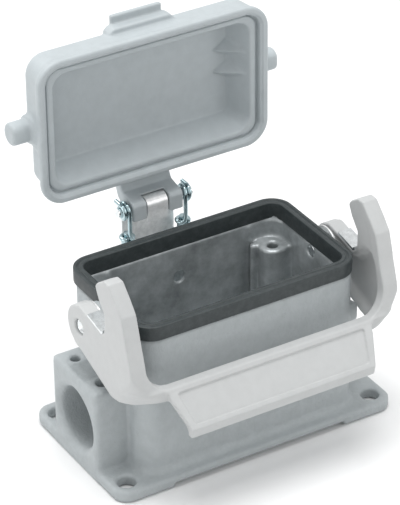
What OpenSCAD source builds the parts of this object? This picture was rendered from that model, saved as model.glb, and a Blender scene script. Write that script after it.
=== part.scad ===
// Surface-mount housing of a heavy duty rectangular connector.
// Die-cast base with a side cable entry, a moulded rim seal, a hinged cast cover
// and one U-shaped locking lever. The origin is the middle of the mounting face,
// +X runs along the housing away from the cable entry, and the hinge is on +Y.

/* [Base] */
// Length of the base plate, along X
base_l = 92.2; // [91:0.1:96]
// Width of the base plate, along Y
base_w = 51.5; // [50:0.1:56]
// Thickness of the base plate
plate_t = 3.6; // [3:0.1:5]
// Corner radius of the base plate
base_r = 5; // [3:0.5:7]
// Mounting holes, centre to centre along X
mount_dx = 82; // [80:0.5:83]
// Mounting holes, centre to centre along Y
mount_dy = 40; // [38:0.5:41]
// Diameter of the mounting holes
mount_d = 5.5; // [4.3:0.1:6]
// Height of the corner feet under the base
foot_h = 1.5; // [0.8:0.1:1.8]
// Length of each corner foot, along X
foot_l = 17.7; // [14:0.1:20]

/* [Tower] */
// Length of the tower outside
tower_l = 69.8; // [69:0.1:71]
// Width of the tower outside
tower_w = 41.6; // [41:0.1:43]
// Outside corner radius of the tower
tower_r = 7; // [5:0.5:9]
// Wall thickness of the tower
wall = 2; // [1.8:0.1:2.6]
// Thickness of the closed bottom, feet left out
floor_t = 2.6; // [2:0.1:4]
// Height of the metal rim above the mounting face
rim_z = 51.1; // [48:0.1:54]
// Size of the fillet around the tower's foot
foot_fillet = 1.6; // [0.5:0.1:2]

/* [Insert posts] */
// Insert screw holes, centre to centre along X
insert_dx = 57; // [56:0.1:58]
// Insert screw holes, centre to centre along Y
insert_dy = 27; // [26:0.1:28]
// Depth of the post tops below the metal rim
post_drop = 9.6; // [8:0.1:12]
// Radius of the round front of each post
post_r = 4.2; // [3.6:0.1:5]
// Core diameter of the M4 thread in each post
post_hole_d = 3.3; // [3.2:0.1:3.6]
// Depth of the thread
post_hole_depth = 12; // [8:0.5:16]

/* [Cable entry] */
// Width of the cable-entry block, along Y
entry_w = 25.2; // [24:0.1:27]
// Height of the cable-entry block
entry_h = 29.7; // [28:0.1:30]
// Height of the cable hole's axis
entry_z = 15; // [14:0.1:16]
// Core diameter of the M20 cable thread
entry_d = 18.5; // [16:0.1:19]
// Diameter of the chamfer at the mouth
entry_mouth_d = 21.3; // [20.6:0.1:22.5]
// Distance between the two blind holes in the block's top
tap_dy = 14.9; // [13:0.1:17]
// Diameter of those blind holes
tap_d = 3; // [2.5:0.1:3.4]
// Depth of those blind holes
tap_depth = 3.4; // [2:0.1:3.6]

/* [Rim seal] */
// Thickness of the seal's outer skirt
skirt_t = 1; // [0.8:0.1:1.3]
// Thickness of the seal's inner leg
seal_leg_t = 0.6; // [0.5:0.1:0.8]
// Thickness of the seal on top of the rim
seal_top_t = 1.2; // [1:0.1:1.6]
// Depth of the skirt below the metal rim
skirt_drop = 3.3; // [2.5:0.1:4]
// Depth of the inner leg below the metal rim
leg_drop = 4.1; // [3:0.1:5]

/* [Cover] */
// How far the cover's rim stands outside the rim seal
cover_margin = 0.8; // [0.5:0.1:1]
// Width of the flat land around the cover's rim
land_w = 2.6; // [2.2:0.1:3]
// Width of the recessed inner land of the rim
inner_land_w = 2.6; // [2:0.1:3]
// Height of the step between the two lands
land_step = 1.6; // [1:0.1:2]
// Outside height of the closed cover
cover_h = 12; // [11.5:0.1:14]
// Thickness of the cover's roof
cover_roof_t = 2.3; // [1.8:0.1:3]
// Gap between the closed cover and the relaxed seal
seal_gap = 0.05; // [0.02:0.01:0.2]
// Radius of the cover's locking pegs
peg_r = 3.4; // [3:0.1:3.6]
// Height of the peg's axis above the cover's rim
peg_up = 7.25; // [7.1:0.05:7.5]
// Distance from the peg's axis to its flat
peg_flat = 3; // [2.6:0.1:3.2]
// How far the pegs stop short of the lever's outside face
peg_short = 0.2; // [0:0.1:1]
// Half the width of the thumb tab
tab_half_w = 8.2; // [6:0.1:12]
// How far the thumb tab stands out of the cover
tab_out = 3.4; // [2:0.1:4]
// Thickness of the thumb tab's lip
tab_t = 1.5; // [1.2:0.1:2]

/* [Hinge] */
// Opening angle of the cover shown, 0 closed and 90 open
cover_angle = 90; // [0:1:90]
// Distance of the hinge pin's axis behind the rim seal
pin_back = 11.2; // [10.8:0.1:12.5]
// Height of the hinge pin's axis above the top of the seal
pin_up = 3; // [2.8:0.05:3.4]
// Diameter of the hinge pin
pin_d = 3; // [2.8:0.1:3.2]
// Radial clearance between the hinge pin and the cover
pin_gap = 0.05; // [0.03:0.01:0.09]
// Half the width of the cover's knuckle
knuckle_half_w = 8.4; // [8:0.1:9]
// Outside radius of the knuckle around the pin
knuckle_r = 4.6; // [4.3:0.1:4.8]
// Half the width of the window in the knuckle
window_half_w = 3.9; // [3.6:0.1:4.4]
// Half the width of the bracket's tongue
tongue_half_w = 3.4; // [2.6:0.1:3.4]
// How far the tongue hangs down in front of the hinge pin
tongue_drop = 4.8; // [3:0.1:5.5]
// Thickness of the bracket's sheet steel
sheet_t = 1; // [0.8:0.1:1.2]
// Half the width of the bracket's plate
bracket_half_w = 8.7; // [8:0.1:9]
// Height of the bracket's rivet
rivet_z = 37; // [35:0.5:38]
// Diameter of the bracket's rivet
rivet_d = 3.8; // [3.2:0.1:3.9]
// Wire diameter of the cover springs
wire_d = 1.3; // [1.1:0.1:1.4]
// Mean coil radius of the cover springs
coil_r = 2.3; // [2.25:0.05:2.5]

/* [Lever] */
// Turning angle of the lever shown, 0 open and 43 locked
lever_angle = 0; // [0:1:43]
// Height of the lever's pivot axis
pivot_z = 44.9; // [44.7:0.1:45.1]
// Diameter of the pivot pins
pivot_d = 4.8; // [4.4:0.1:5.2]
// Diameter of the pins' riveted ends, which pass through the tower's wall
tenon_d = 3.6; // [3:0.1:3.9]
// Radial clearance between the pivot pins and the lever
pivot_gap = 0.05; // [0.03:0.01:0.09]
// Gap between the cover's rim and the lever arms
arm_gap = 1.3; // [0.8:0.1:1.8]
// Thickness of the lever arms
arm_t = 5; // [4.6:0.1:5.6]
// Radius of the lobe around the pivot
lobe_r = 6.6; // [6.2:0.1:6.8]
// Thickness of the arms' web outside the bay
web_t = 2.6; // [2.2:0.1:3]
// Distance from the pivot axis to the arms' front edge
arm_r = 28.8; // [28:0.1:29.5]
// Depth of the solid front edge of the arms
flange_t = 3.2; // [2.6:0.1:3.6]
// Width of the rim around the bay inside each arm
bay_rim = 2.1; // [1.6:0.1:2.6]
// Height of the bay's top above the pivot axis
bay_top = 8; // [5:0.5:9]
// Corner radius where the arms turn into the bar
corner_r = 9; // [7:0.5:10]
// Corner radius of the opening between the arms, seen from the front
mouth_r = 7.5; // [5:0.5:9]
// Distance from the pivot axis forward to the bar's front
bar_y = 30.9; // [30:0.1:32]
// Distance from the pivot axis down to the bar's top
bar_drop = 7.4; // [7:0.1:8]
// Height of the bar's strip behind the handle plate
bar_h = 3.5; // [3:0.1:4.5]
// Thickness of the handle plate
bar_t = 2.8; // [2.4:0.1:3]
// Half the width of the handle plate at its lower end
bar_half_w = 30.2; // [28:0.1:31]
// How much wider the plate is on each side at its top
handle_taper = 2.8; // [0:0.1:3.5]
// Length of the handle plate down its slope
handle_l = 12.1; // [10:0.1:13]
// Lean of the handle plate from upright, in degrees
handle_lean = 38.3; // [30:0.1:42]
// Depth of the handle plate's sunk panel
panel_depth = 0.35; // [0.2:0.05:0.6]
// Thickness of the steel leaf in each hook
leaf_t = 0.7; // [0.5:0.1:0.8]
// Radius of the bosses that carry the pivot pins
boss_r = 5.6; // [5:0.1:6]

/* [Hidden] */
$fn = 64;
eps = 0.01;

cast_grey = [0.60, 0.63, 0.64];
cover_grey = [0.70, 0.73, 0.75];
seal_black = [0.16, 0.18, 0.18];
lever_grey = [0.80, 0.81, 0.82];
steel = [0.72, 0.76, 0.78];

cavity_l = tower_l - 2 * wall;
cavity_w = tower_w - 2 * wall;
cavity_r = tower_r - wall;
floor_z = foot_h + floor_t;
post_z = rim_z - post_drop;
seal_l = tower_l + 2 * skirt_t;
seal_w = tower_w + 2 * skirt_t;
seal_r = tower_r + skirt_t;
seal_z = rim_z + seal_top_t;
cover_l = seal_l + 2 * cover_margin + 1.6;
cover_w = seal_w + 2 * cover_margin;
cover_z = seal_z + seal_gap;
pin_y = seal_w / 2 + pin_back;
pin_z = seal_z + pin_up;
arm_in = cover_l / 2 + arm_gap;
arm_out = arm_in + arm_t;
peg_end = arm_out - peg_short;
web_in = arm_out - web_t;
lock_turn = 43;
washer_t = 0.65;
tenon_l = wall / 2;
side_gap = 0.05;
boss_end = arm_in - washer_t - side_gap;
skirt_z = rim_z - skirt_drop;

// A rectangle with round corners, centred on the origin
module round_rect(l, w, r) {
    square([l - 2 * r, w], center = true);
    square([l, w - 2 * r], center = true);
    for (sx = [-1, 1], sy = [-1, 1])
        translate([sx * (l / 2 - r), sy * (w / 2 - r)]) circle(r);
}

module round_block(l, w, r, z0, z1) {
    translate([0, 0, z0]) linear_extrude(z1 - z0) round_rect(l, w, r);
}

// A profile drawn in the Y-Z plane, carried along X from x0 to x1
module along_x(x0, x1) {
    translate([x0, 0, 0]) rotate([90, 0, 90]) linear_extrude(x1 - x0) children();
}

// A round bar along X
module bar_x(x0, x1, y, z, r) {
    translate([x0, y, z]) rotate([0, 90, 0]) cylinder(r = r, h = x1 - x0);
}

// ---------------------------------------------------------------- housing

module base_plate() {
    difference() {
        round_block(base_l, base_w, base_r, 0, plate_t);
        translate([-base_l / 2 + foot_l, -base_w / 2 - 1, -1])
            cube([base_l - 2 * foot_l, base_w + 2, foot_h + 1]);
    }
}

module tower_shell() {
    hull() {
        round_block(tower_l + 2 * foot_fillet, tower_w + 2 * foot_fillet, tower_r + foot_fillet,
                    plate_t - eps, plate_t, $fn = 32);
        round_block(tower_l, tower_w, tower_r, plate_t + foot_fillet, plate_t + foot_fillet + eps,
                    $fn = 32);
    }
    round_block(tower_l, tower_w, tower_r, foot_h, rim_z);
}

module entry_block() {
    edge = 1.2;
    x0 = -base_l / 2;
    x1 = -tower_l / 2 + wall / 2;
    hull() {
        translate([x0, -entry_w / 2, plate_t / 2])
            cube([x1 - x0, entry_w, entry_h - edge - plate_t / 2]);
        translate([x0 + edge, -entry_w / 2 + edge, entry_h - edge])
            cube([x1 - x0 - edge, entry_w - 2 * edge, edge]);
    }
}

// Posts in the four corners for the screws of the contact insert
module insert_posts() {
    for (sx = [-1, 1], sy = [-1, 1]) {
        x = sx * insert_dx / 2;
        y = sy * insert_dy / 2;
        translate([x, y, floor_z - eps]) cylinder(r = post_r, h = post_z - floor_z + eps);
        translate([min(x, sx * cavity_l / 2), y - post_r * 0.8, floor_z - eps])
            cube([cavity_l / 2 - insert_dx / 2, post_r * 1.6, post_z - floor_z + eps]);
        translate([x - post_r * 0.8, min(y, sy * cavity_w / 2), floor_z - eps])
            cube([post_r * 1.6, cavity_w / 2 - insert_dy / 2, post_z - floor_z + eps]);
    }
}

// Low lugs beside the arms that the open lever rests on
lug_w = 3.4;
lug_h = 5.5;
lug_y = -tower_w / 2 + wall;
lug_top = pivot_z - bar_drop - 2;
lug_l = (boss_end - tower_l / 2) * 0.8;
module lever_lugs() {
    for (sx = [0, 1]) mirror([sx, 0, 0])
        translate([tower_l / 2 - wall / 2, lug_y + lug_w, lug_top - lug_h]) rotate([90, 0, 0])
            linear_extrude(lug_w) {
                square([wall / 2 + lug_l * 0.7, lug_h]);
                square([wall / 2 + lug_l, lug_h - lug_l * 0.3]);
            }
}

// Round bosses for the pivot pins, cut away under the seal's skirt
module pivot_bosses() {
    difference() {
        for (sx = [0, 1]) mirror([sx, 0, 0])
            bar_x(tower_l / 2 - wall / 2, boss_end, 0, pivot_z, boss_r);
        round_block(seal_l + 4 * side_gap, seal_w + 4 * side_gap, seal_r, skirt_z - side_gap,
                    rim_z + boss_r);
    }
}

module housing_body() {
    difference() {
        union() {
            base_plate();
            tower_shell();
            entry_block();
            lever_lugs();
            pivot_bosses();
        }
        round_block(cavity_l, cavity_w, cavity_r, floor_z, rim_z + 1);
        round_block(cavity_l + 2 * seal_leg_t, cavity_w + 2 * seal_leg_t, cavity_r + seal_leg_t,
                    rim_z - leg_drop, rim_z + 1);
    }
    intersection() {
        insert_posts();
        round_block(tower_l - wall, tower_w - wall, tower_r - wall / 2, foot_h, rim_z);
    }
}

module housing() {
    color(cast_grey) difference() {
        housing_body();
        // mounting holes
        for (sx = [-1, 1], sy = [-1, 1])
            translate([sx * mount_dx / 2, sy * mount_dy / 2, -1])
                cylinder(d = mount_d, h = plate_t + 2);
        // threads for the insert
        for (sx = [-1, 1], sy = [-1, 1])
            translate([sx * insert_dx / 2, sy * insert_dy / 2, post_z - post_hole_depth])
                cylinder(d = post_hole_d, h = post_hole_depth + 1, $fn = 32);
        // cable entry with its chamfered mouth
        bar_x(-base_l / 2 - 1, -cavity_l / 2 + 1, 0, entry_z, entry_d / 2);
        translate([-base_l / 2 - eps, 0, entry_z]) rotate([0, 90, 0])
            cylinder(d1 = entry_mouth_d, d2 = entry_d, h = (entry_mouth_d - entry_d) / 2 + eps);
        // blind holes and the shallow panel in the top of the entry block
        for (sy = [-1, 1])
            translate([-base_l / 2 + 5, sy * tap_dy / 2, entry_h - tap_depth])
                cylinder(d = tap_d, h = tap_depth + 1, $fn = 32);
        translate([-base_l / 2 + 1.8, -tap_dy / 2 + 3, entry_h - 0.5])
            cube([6, tap_dy - 6, 1]);
        // holes for the pivot pins and the bracket's rivet
        for (sx = [0, 1]) mirror([sx, 0, 0]) {
            bar_x(cavity_l / 2 - 1, boss_end + 1, 0, pivot_z, tenon_d / 2);
            bar_x(cavity_l / 2 + tenon_l, boss_end + 1, 0, pivot_z, pivot_d / 2);
        }
        translate([0, cavity_w / 2 - 1, rivet_z]) rotate([-90, 0, 0])
            cylinder(d = rivet_d, h = wall + 2, $fn = 32);
    }
}

// --------------------------------------------------------------- rim seal

module rim_seal() {
    color(seal_black) difference() {
        union() {
            round_block(seal_l, seal_w, seal_r, skirt_z, seal_z);
            round_block(cavity_l + 2 * seal_leg_t, cavity_w + 2 * seal_leg_t, cavity_r + seal_leg_t,
                        rim_z - leg_drop, rim_z);
        }
        // the metal rim stands in this channel
        difference() {
            round_block(tower_l, tower_w, tower_r, rim_z - leg_drop - 1, rim_z);
            round_block(cavity_l + 2 * seal_leg_t, cavity_w + 2 * seal_leg_t, cavity_r + seal_leg_t,
                        rim_z - leg_drop - 2, rim_z + 1);
        }
        round_block(cavity_l, cavity_w, cavity_r, rim_z - leg_drop - 1, seal_z + 1);
    }
}

// ------------------------------------------------------------------ cover
// The cover is drawn closed, with z = 0 on its rim, and is swung about the pin.

cover_r = seal_r - 0.5;
opening_l = cover_l - 2 * land_w - 2 * inner_land_w;
opening_w = cover_w - 2 * land_w - 2 * inner_land_w + 0.8;
local_pin_z = pin_z - cover_z;

module cover_shell() {
    rim_h = 2.4;
    shoulder_z = cover_h - 3;
    round_block(cover_l, cover_w, cover_r, 0, rim_h);
    hull() {
        round_block(cover_l - 1, cover_w - 1, cover_r - 0.5, rim_h - eps, rim_h, $fn = 32);
        round_block(cover_l - 2.4, cover_w - 2.4, cover_r - 1, shoulder_z, shoulder_z + eps, $fn = 32);
        round_block(cover_l - 4.2, cover_w - 4.2, cover_r - 2, cover_h - 0.9, cover_h - 0.8, $fn = 32);
        round_block(cover_l - 7, cover_w - 7, cover_r - 3, cover_h - eps, cover_h, $fn = 32);
    }
}

// Two lands step down inside the rim, and the walls below them are drafted
module cover_hollow() {
    draft_in = 8.2;
    groove_w = 0.7;
    groove_d = 0.9;
    step_l = cover_l - 2 * land_w;
    step_w = cover_w - 2 * land_w;
    step_r = cover_r - land_w;
    round_block(step_l, step_w, step_r, -1, land_step);
    round_block(step_l + 1.2, step_w + 1.2, step_r + 0.6, -1, land_step * 0.3);
    difference() {
        round_block(step_l, step_w, step_r, land_step - eps, land_step + groove_d);
        round_block(step_l - 2 * groove_w, step_w - 2 * groove_w, step_r - groove_w,
                    land_step - 1, land_step + groove_d + 1);
    }
    hull() {
        round_block(opening_l, opening_w, cover_r - 3, land_step - eps, land_step, $fn = 32);
        round_block(opening_l - draft_in, opening_w - draft_in, cover_r - 5,
                    cover_h - cover_roof_t - eps, cover_h - cover_roof_t, $fn = 32);
    }
}

// Side profile of the hinge arm and its knuckle, in the closed cover's frame
module arm_profile() {
    ry = pin_y;
    rz = local_pin_z;
    translate([ry, rz]) circle(knuckle_r);
    polygon([
        [cover_w / 2 - 2, cover_h - 0.9],
        [cover_w / 2 + 0.5, cover_h - 0.4],
        [ry - 3.6, cover_h - 1.1],
        [ry - 1.2, cover_h - 2.2],
        [ry + 0.8, rz + knuckle_r - 0.1],
        [ry, rz],
        [ry - 1.6, 0],
        [ry - 2.2, 0.5],
        [ry - 3.7, rz + 3.6],
        [ry - 8, rz + 6],
        [cover_w / 2 - 2, rz + 6.2],
    ]);
    translate([ry - 1.6, 0]) square([4.9, rz]);
}

// What the bracket's tongue sweeps while the cover turns
module window_profile() {
    reach = 3 * knuckle_r;
    circle(pin_d / 2 + sheet_t + 0.4);
    polygon([[0, 0], [-1.2, reach], [reach, reach], [reach, -reach], [-reach, -reach],
             [-reach, -1.4], [-pin_d / 2 - sheet_t, -1.4]]);
}

module hinge_arm() {
    difference() {
        union() {
            intersection() {
                along_x(-knuckle_half_w, knuckle_half_w) arm_profile();
                translate([-20, cover_w / 2 - 3, -1]) cube([40, 40, 40]);
            }
            // flared root
            hull() {
                translate([-knuckle_half_w - 1.6, cover_w / 2 - 2.5, cover_h - 3.2])
                    cube([2 * knuckle_half_w + 3.2, 1, 2.4]);
                translate([-knuckle_half_w, pin_y - 5.4, cover_h - 3.2])
                    cube([2 * knuckle_half_w, 1, 1.9]);
            }
        }
        // keep the knuckle flush with the rim and cut its back square
        translate([-20, pin_y - 20, -5]) cube([40, 40, 5]);
        translate([-20, pin_y + 3.3, -5]) cube([40, 10, local_pin_z + 5]);
        bar_x(-20, 20, pin_y, local_pin_z, pin_d / 2 + pin_gap);
        translate([0, pin_y, local_pin_z])
            along_x(-window_half_w, window_half_w) window_profile();
    }
}

module peg(side) {
    intersection() {
        bar_x(side > 0 ? cover_l / 2 - 3 : -peg_end, side > 0 ? peg_end : -cover_l / 2 + 3,
              0, peg_up, peg_r);
        translate([-peg_end - 1, -peg_r - 1, peg_up - peg_flat])
            cube([2 * peg_end + 2, 2 * peg_r + 2, 2 * peg_r]);
    }
}

// A low shelf with an upright lip along its far edge
module thumb_tab() {
    y0 = -cover_w / 2;
    root = 2.3;
    shelf = 0.7;
    hull() {
        translate([-tab_half_w - root, y0 + 1, cover_h - 4.6])
            cube([2 * (tab_half_w + root), 1, 3.6]);
        translate([-tab_half_w, y0 - shelf, cover_h - tab_t - 2])
            cube([2 * tab_half_w, 1, tab_t + 1.2]);
    }
    translate([-tab_half_w, y0 - tab_out, cover_h - tab_t])
        cube([2 * tab_half_w, tab_out + 3, tab_t]);
}

// Two wedge-shaped ribs on one end wall, inside the cover
module end_ribs() {
    rib_out = 3.7;
    foot_x = (opening_l - 8.2) / 2;
    for (y = [0.4, -6.6])
        translate([0, y, 0]) intersection() {
            translate([0, 0, land_step + 1]) linear_extrude(cover_h - cover_roof_t - land_step)
                polygon([[foot_x + 4, -2.8], [foot_x - rib_out + 1, -0.5], [foot_x - rib_out, 0.2],
                         [foot_x + 4, 2]]);
            rotate([90, 0, 0]) linear_extrude(20, center = true)
                polygon([[foot_x - rib_out, cover_h], [foot_x - rib_out, cover_h - cover_roof_t - 0.6],
                         [foot_x + 3, land_step + 2], [foot_x + 5, cover_h]]);
        }
}

module cover_closed() {
    difference() {
        union() {
            cover_shell();
            thumb_tab();
            peg(1);
            peg(-1);
        }
        cover_hollow();
    }
    hinge_arm();
    intersection() {
        end_ribs();
        round_block(cover_l - 6, cover_w - 6, cover_r - 3, 0, cover_h - 1);
    }
}

module cover() {
    color(cover_grey)
        translate([0, pin_y, pin_z]) rotate([-cover_angle, 0, 0]) translate([0, -pin_y, -pin_z])
            translate([0, 0, cover_z]) cover_closed();
}

// ------------------------------------------------------------------ hinge

spring_x = knuckle_half_w + 0.35 + wire_d / 2;
coil_turns = 1.25;
coil_pitch = wire_d + 0.1;
pin_end = spring_x + coil_turns * coil_pitch + wire_d / 2 + 0.5;
eye_r = 1.8;
web_z = 42;
eye_z = web_z + 4.4;
stud_y = pin_y - coil_r + eye_r;
upright_y = pin_y + 3.6;
stud_r = eye_r - wire_d / 2 - 0.15;

module hinge_pin() {
    color(steel) bar_x(-pin_end, pin_end, pin_y, pin_z, pin_d / 2);
}

module hinge_bracket() {
    web_half_w = spring_x + 2.2;
    color(steel) difference() {
        union() {
            // plate on the housing's back wall, web and upright
            translate([-bracket_half_w, tower_w / 2, rivet_z - 5])
                cube([2 * bracket_half_w, sheet_t, web_z - rivet_z + 5]);
            translate([-bracket_half_w, tower_w / 2, web_z - sheet_t])
                cube([2 * bracket_half_w, upright_y + sheet_t - tower_w / 2, sheet_t]);
            translate([-web_half_w, stud_y - 3, web_z - sheet_t])
                cube([2 * web_half_w, 6, sheet_t]);
            translate([-bracket_half_w, upright_y, web_z - sheet_t])
                cube([2 * bracket_half_w, sheet_t, 50.6 - web_z + sheet_t]);
            // tongue that curls around the pin
            along_x(-tongue_half_w, tongue_half_w) polygon([
                [upright_y, 50.4], [upright_y + sheet_t, 50.4],
                [upright_y + sheet_t, pin_z - 3.6], [pin_y + pin_d / 2 + sheet_t, pin_z],
                [pin_y + pin_d / 2, pin_z], [upright_y - 0.2, pin_z - 3.6]]);
            bar_x(-tongue_half_w, tongue_half_w, pin_y, pin_z, pin_d / 2 + sheet_t);
            translate([-tongue_half_w, pin_y - pin_d / 2 - sheet_t, pin_z - tongue_drop])
                cube([2 * tongue_half_w, sheet_t, tongue_drop]);
        }
        bar_x(-tongue_half_w - 1, tongue_half_w + 1, pin_y, pin_z, pin_d / 2);
        translate([0, tower_w / 2 - 1, rivet_z]) rotate([-90, 0, 0])
            cylinder(d = rivet_d, h = sheet_t + 2, $fn = 32);
        for (sx = [-1, 1])
            translate([sx * spring_x, stud_y, web_z - sheet_t - 1])
                cylinder(r = stud_r, h = sheet_t + 2, $fn = 32);
    }
}

module bracket_rivet() {
    y1 = tower_w / 2 + sheet_t;
    color(steel) {
        translate([0, cavity_w / 2 + 0.7, rivet_z]) rotate([-90, 0, 0])
            cylinder(d = rivet_d, h = y1 - cavity_w / 2 - 0.7 + eps, $fn = 32);
        translate([0, y1, rivet_z]) rotate([-90, 0, 0])
            cylinder(d1 = rivet_d * 1.8, d2 = rivet_d * 1.2, h = 1.5);
    }
}

module spring_stud(side) {
    color(steel) translate([side * spring_x, stud_y, 0]) {
        translate([0, 0, web_z - sheet_t])
            cylinder(r = stud_r, h = eye_z - web_z + sheet_t + 1.6, $fn = 32);
        translate([0, 0, web_z])
            cylinder(r = stud_r + 0.8, h = eye_z - web_z - wire_d / 2 - 0.1, $fn = 32);
    }
}
module spring_stud_left() { spring_stud(-1); }
module spring_stud_right() { spring_stud(1); }

// Path of one torsion spring, at x >= 0: eye, leg, coil around the pin, short end
function eye_points() = [for (a = [-330 : 30 : -30])
    [spring_x + eye_r * sin(a), stud_y - eye_r * cos(a), eye_z]];
function coil_points() = [for (i = [0 : 18])
    let (a = 180 - i / 18 * 360 * coil_turns)
    [spring_x + i / 18 * coil_turns * coil_pitch, pin_y + coil_r * cos(a), pin_z + coil_r * sin(a)]];
function spring_points() = concat(
    eye_points(),
    [[spring_x, pin_y - coil_r, eye_z + 0.9], [spring_x, pin_y - coil_r, pin_z - 1.5]],
    coil_points(),
    [[spring_x + coil_turns * coil_pitch, pin_y + 2.6, pin_z + coil_r]]);

function unit(v) = v / norm(v);
// A frame that turns as little as possible from one ring of the wire to the next
function carried(n, t) = unit(n - t * (n * t));
function tangents(p) = [for (i = [0 : len(p) - 1])
    unit(p[min(i + 1, len(p) - 1)] - p[max(i - 1, 0)])];
function normals(t, i = 0, n = [0.3, 0.2, 1]) =
    i >= len(t) ? [] : let (m = carried(n, t[i])) concat([m], normals(t, i + 1, m));

module wire(p, r, sides = 6) {
    t = tangents(p);
    n = normals(t);
    rings = len(p);
    points = [for (i = [0 : rings - 1], k = [0 : sides - 1])
        let (a = k * 360 / sides)
        p[i] + r * (cos(a) * n[i] + sin(a) * cross(t[i], n[i]))];
    faces = concat(
        [[for (k = [0 : sides - 1]) k]],
        [[for (k = [sides - 1 : -1 : 0]) (rings - 1) * sides + k]],
        [for (i = [0 : rings - 2], k = [0 : sides - 1])
            [i * sides + k, (i + 1) * sides + k,
             (i + 1) * sides + (k + 1) % sides, i * sides + (k + 1) % sides]]);
    polyhedron(points, faces, convexity = 6);
}

module hinge_spring_right() { color(steel) wire(spring_points(), wire_d / 2); }
module hinge_spring_left() { color(steel) mirror([1, 0, 0]) wire(spring_points(), wire_d / 2); }

// ------------------------------------------------------------------ lever
// Side views of the open lever are (y, z) from the pivot axis.

peg_reach = cover_z + peg_up - pivot_z;
seat = peg_reach * [-sin(lock_turn), cos(lock_turn)];

// The slot opens to the back, and the hook reaches over the seated peg.
module slot_profile() {
    polygon([for (p = [[-0.75, -1.8], [-1.25, -1.4], [-1.4, -0.8], [-1.4, 0.4], [-0.5, 1.5],
                       [0, 2.5], [0.6, 3.4], [3.4, 3.4], [5.6, 0], [2.9, -1.05]])
             seat + peg_r * p]);
}

front_edge = concat([for (p = [[-0.40, 0.72], [-0.52, 0.80], [-0.61, 0.80], [-0.68, 0.73],
                               [-0.745, 0.665], [-0.845, 0.55], [-0.885, 0.42], [-0.93, 0.265],
                               [-1, 0.04], [-1.025, -0.10]]) arm_r * p],
                    [[-bar_y + 0.6, -bar_drop + 1], [-bar_y, -bar_drop]]);
lower_edge = [[-bar_y + 0.3, -bar_drop - bar_h], [-arm_r * 0.97, -arm_r * 0.40],
              [-arm_r * 0.86, -arm_r * 0.45], [-arm_r * 0.7, -arm_r * 0.485],
              [-arm_r * 0.6, -arm_r * 0.463], [lobe_r * 0.34, -lobe_r * 0.94]];

module arm_outline() {
    difference() {
        union() {
            circle(lobe_r);
            polygon(concat(front_edge, lower_edge, [[lobe_r * 0.9, 0], [lobe_r * 0.1, lobe_r]]));
        }
        slot_profile();
    }
}

// Everything behind the front flange
module behind_flange() {
    translate([flange_t, 0])
        polygon(concat([[arm_r, 2 * arm_r], [-arm_r * 0.40, 2 * arm_r]], front_edge,
                       [[-bar_y, -arm_r], [arm_r, -arm_r]]));
}

// Bay in the inside of each arm, with the rim left standing around it
module bay_profile() {
    difference() {
        intersection() {
            offset(delta = -bay_rim) arm_outline();
            behind_flange();
            translate([-2 * arm_r, -arm_r]) square([2 * arm_r, arm_r + bay_top]);
        }
        circle(lobe_r);
    }
}

module plan_round(half_w, front, r, z0, z1) {
    depth = 3 * arm_r;
    translate([0, depth / 2 - front, z0]) linear_extrude(z1 - z0)
        round_rect(2 * half_w, depth, r, $fn = 48);
}

// Outside of the lever in plan: square at the hooks, well rounded at the bar
module lever_plan() {
    sharp_z = -0.03 * arm_r;
    full_z = -bar_drop - 1.5;
    plan_round(arm_out, bar_y, 0.6, sharp_z, arm_r);
    hull() {
        plan_round(arm_out, bar_y, 0.6, sharp_z - eps, sharp_z);
        plan_round(arm_out, bar_y, corner_r, full_z, full_z + eps);
    }
    plan_round(arm_out, bar_y, corner_r, -arm_r, full_z + eps);
}

// The handle plate leans out from the bar and ends in a lip.
module handle_outline() {
    down = [-sin(handle_lean), -cos(handle_lean)];
    back = [cos(handle_lean), -sin(handle_lean)];
    top = [-bar_y, -bar_drop - 0.5];
    foot = top + handle_l * down;
    polygon([top + [0.2, 0.5], foot - panel_depth * back, foot + [0.4, -bar_t],
             foot + [0.4 + bar_t * 0.75, -bar_t], foot + bar_t * back,
             top + bar_t * back, top + [bar_t, 0.5]]);
}

// Front view of the handle plate: it tapers down from a fillet under each corner
module handle_front() {
    fillet_r = 3.6;
    top_w = bar_half_w + handle_taper;
    fillet_z = -bar_drop - 2.9;
    side = concat([[bar_half_w, -arm_r]], [[bar_half_w, -bar_drop - 0.5 - handle_l * cos(handle_lean)]],
                  [for (a = [0 : 15 : 90])
                      [top_w + fillet_r * (1 - cos(a)), fillet_z + fillet_r * sin(a)]],
                  [[top_w + fillet_r, 0]]);
    rotate([90, 0, 0]) linear_extrude(4 * arm_r, center = true)
        for (sx = [0, 1]) mirror([sx, 0]) polygon(concat([[-1, 0], [-1, -arm_r]], side));
}

module handle() {
    panel_top = bar_half_w + handle_taper - 2.2;
    panel_foot = bar_half_w - 1.6;
    difference() {
        intersection() {
            along_x(-arm_out, arm_out) handle_outline();
            handle_front();
        }
        // sunk panel on the plate's face
        translate([0, -bar_y, -bar_drop - 0.5]) rotate([-handle_lean, 0, 0]) translate([0, panel_depth / 2, 0])
            rotate([90, 0, 0]) linear_extrude(3)
                polygon([[-panel_foot, 1.3 - handle_l], [panel_foot, 1.3 - handle_l],
                         [panel_top, -0.9], [-panel_top, -0.9]]);
    }
}

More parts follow.
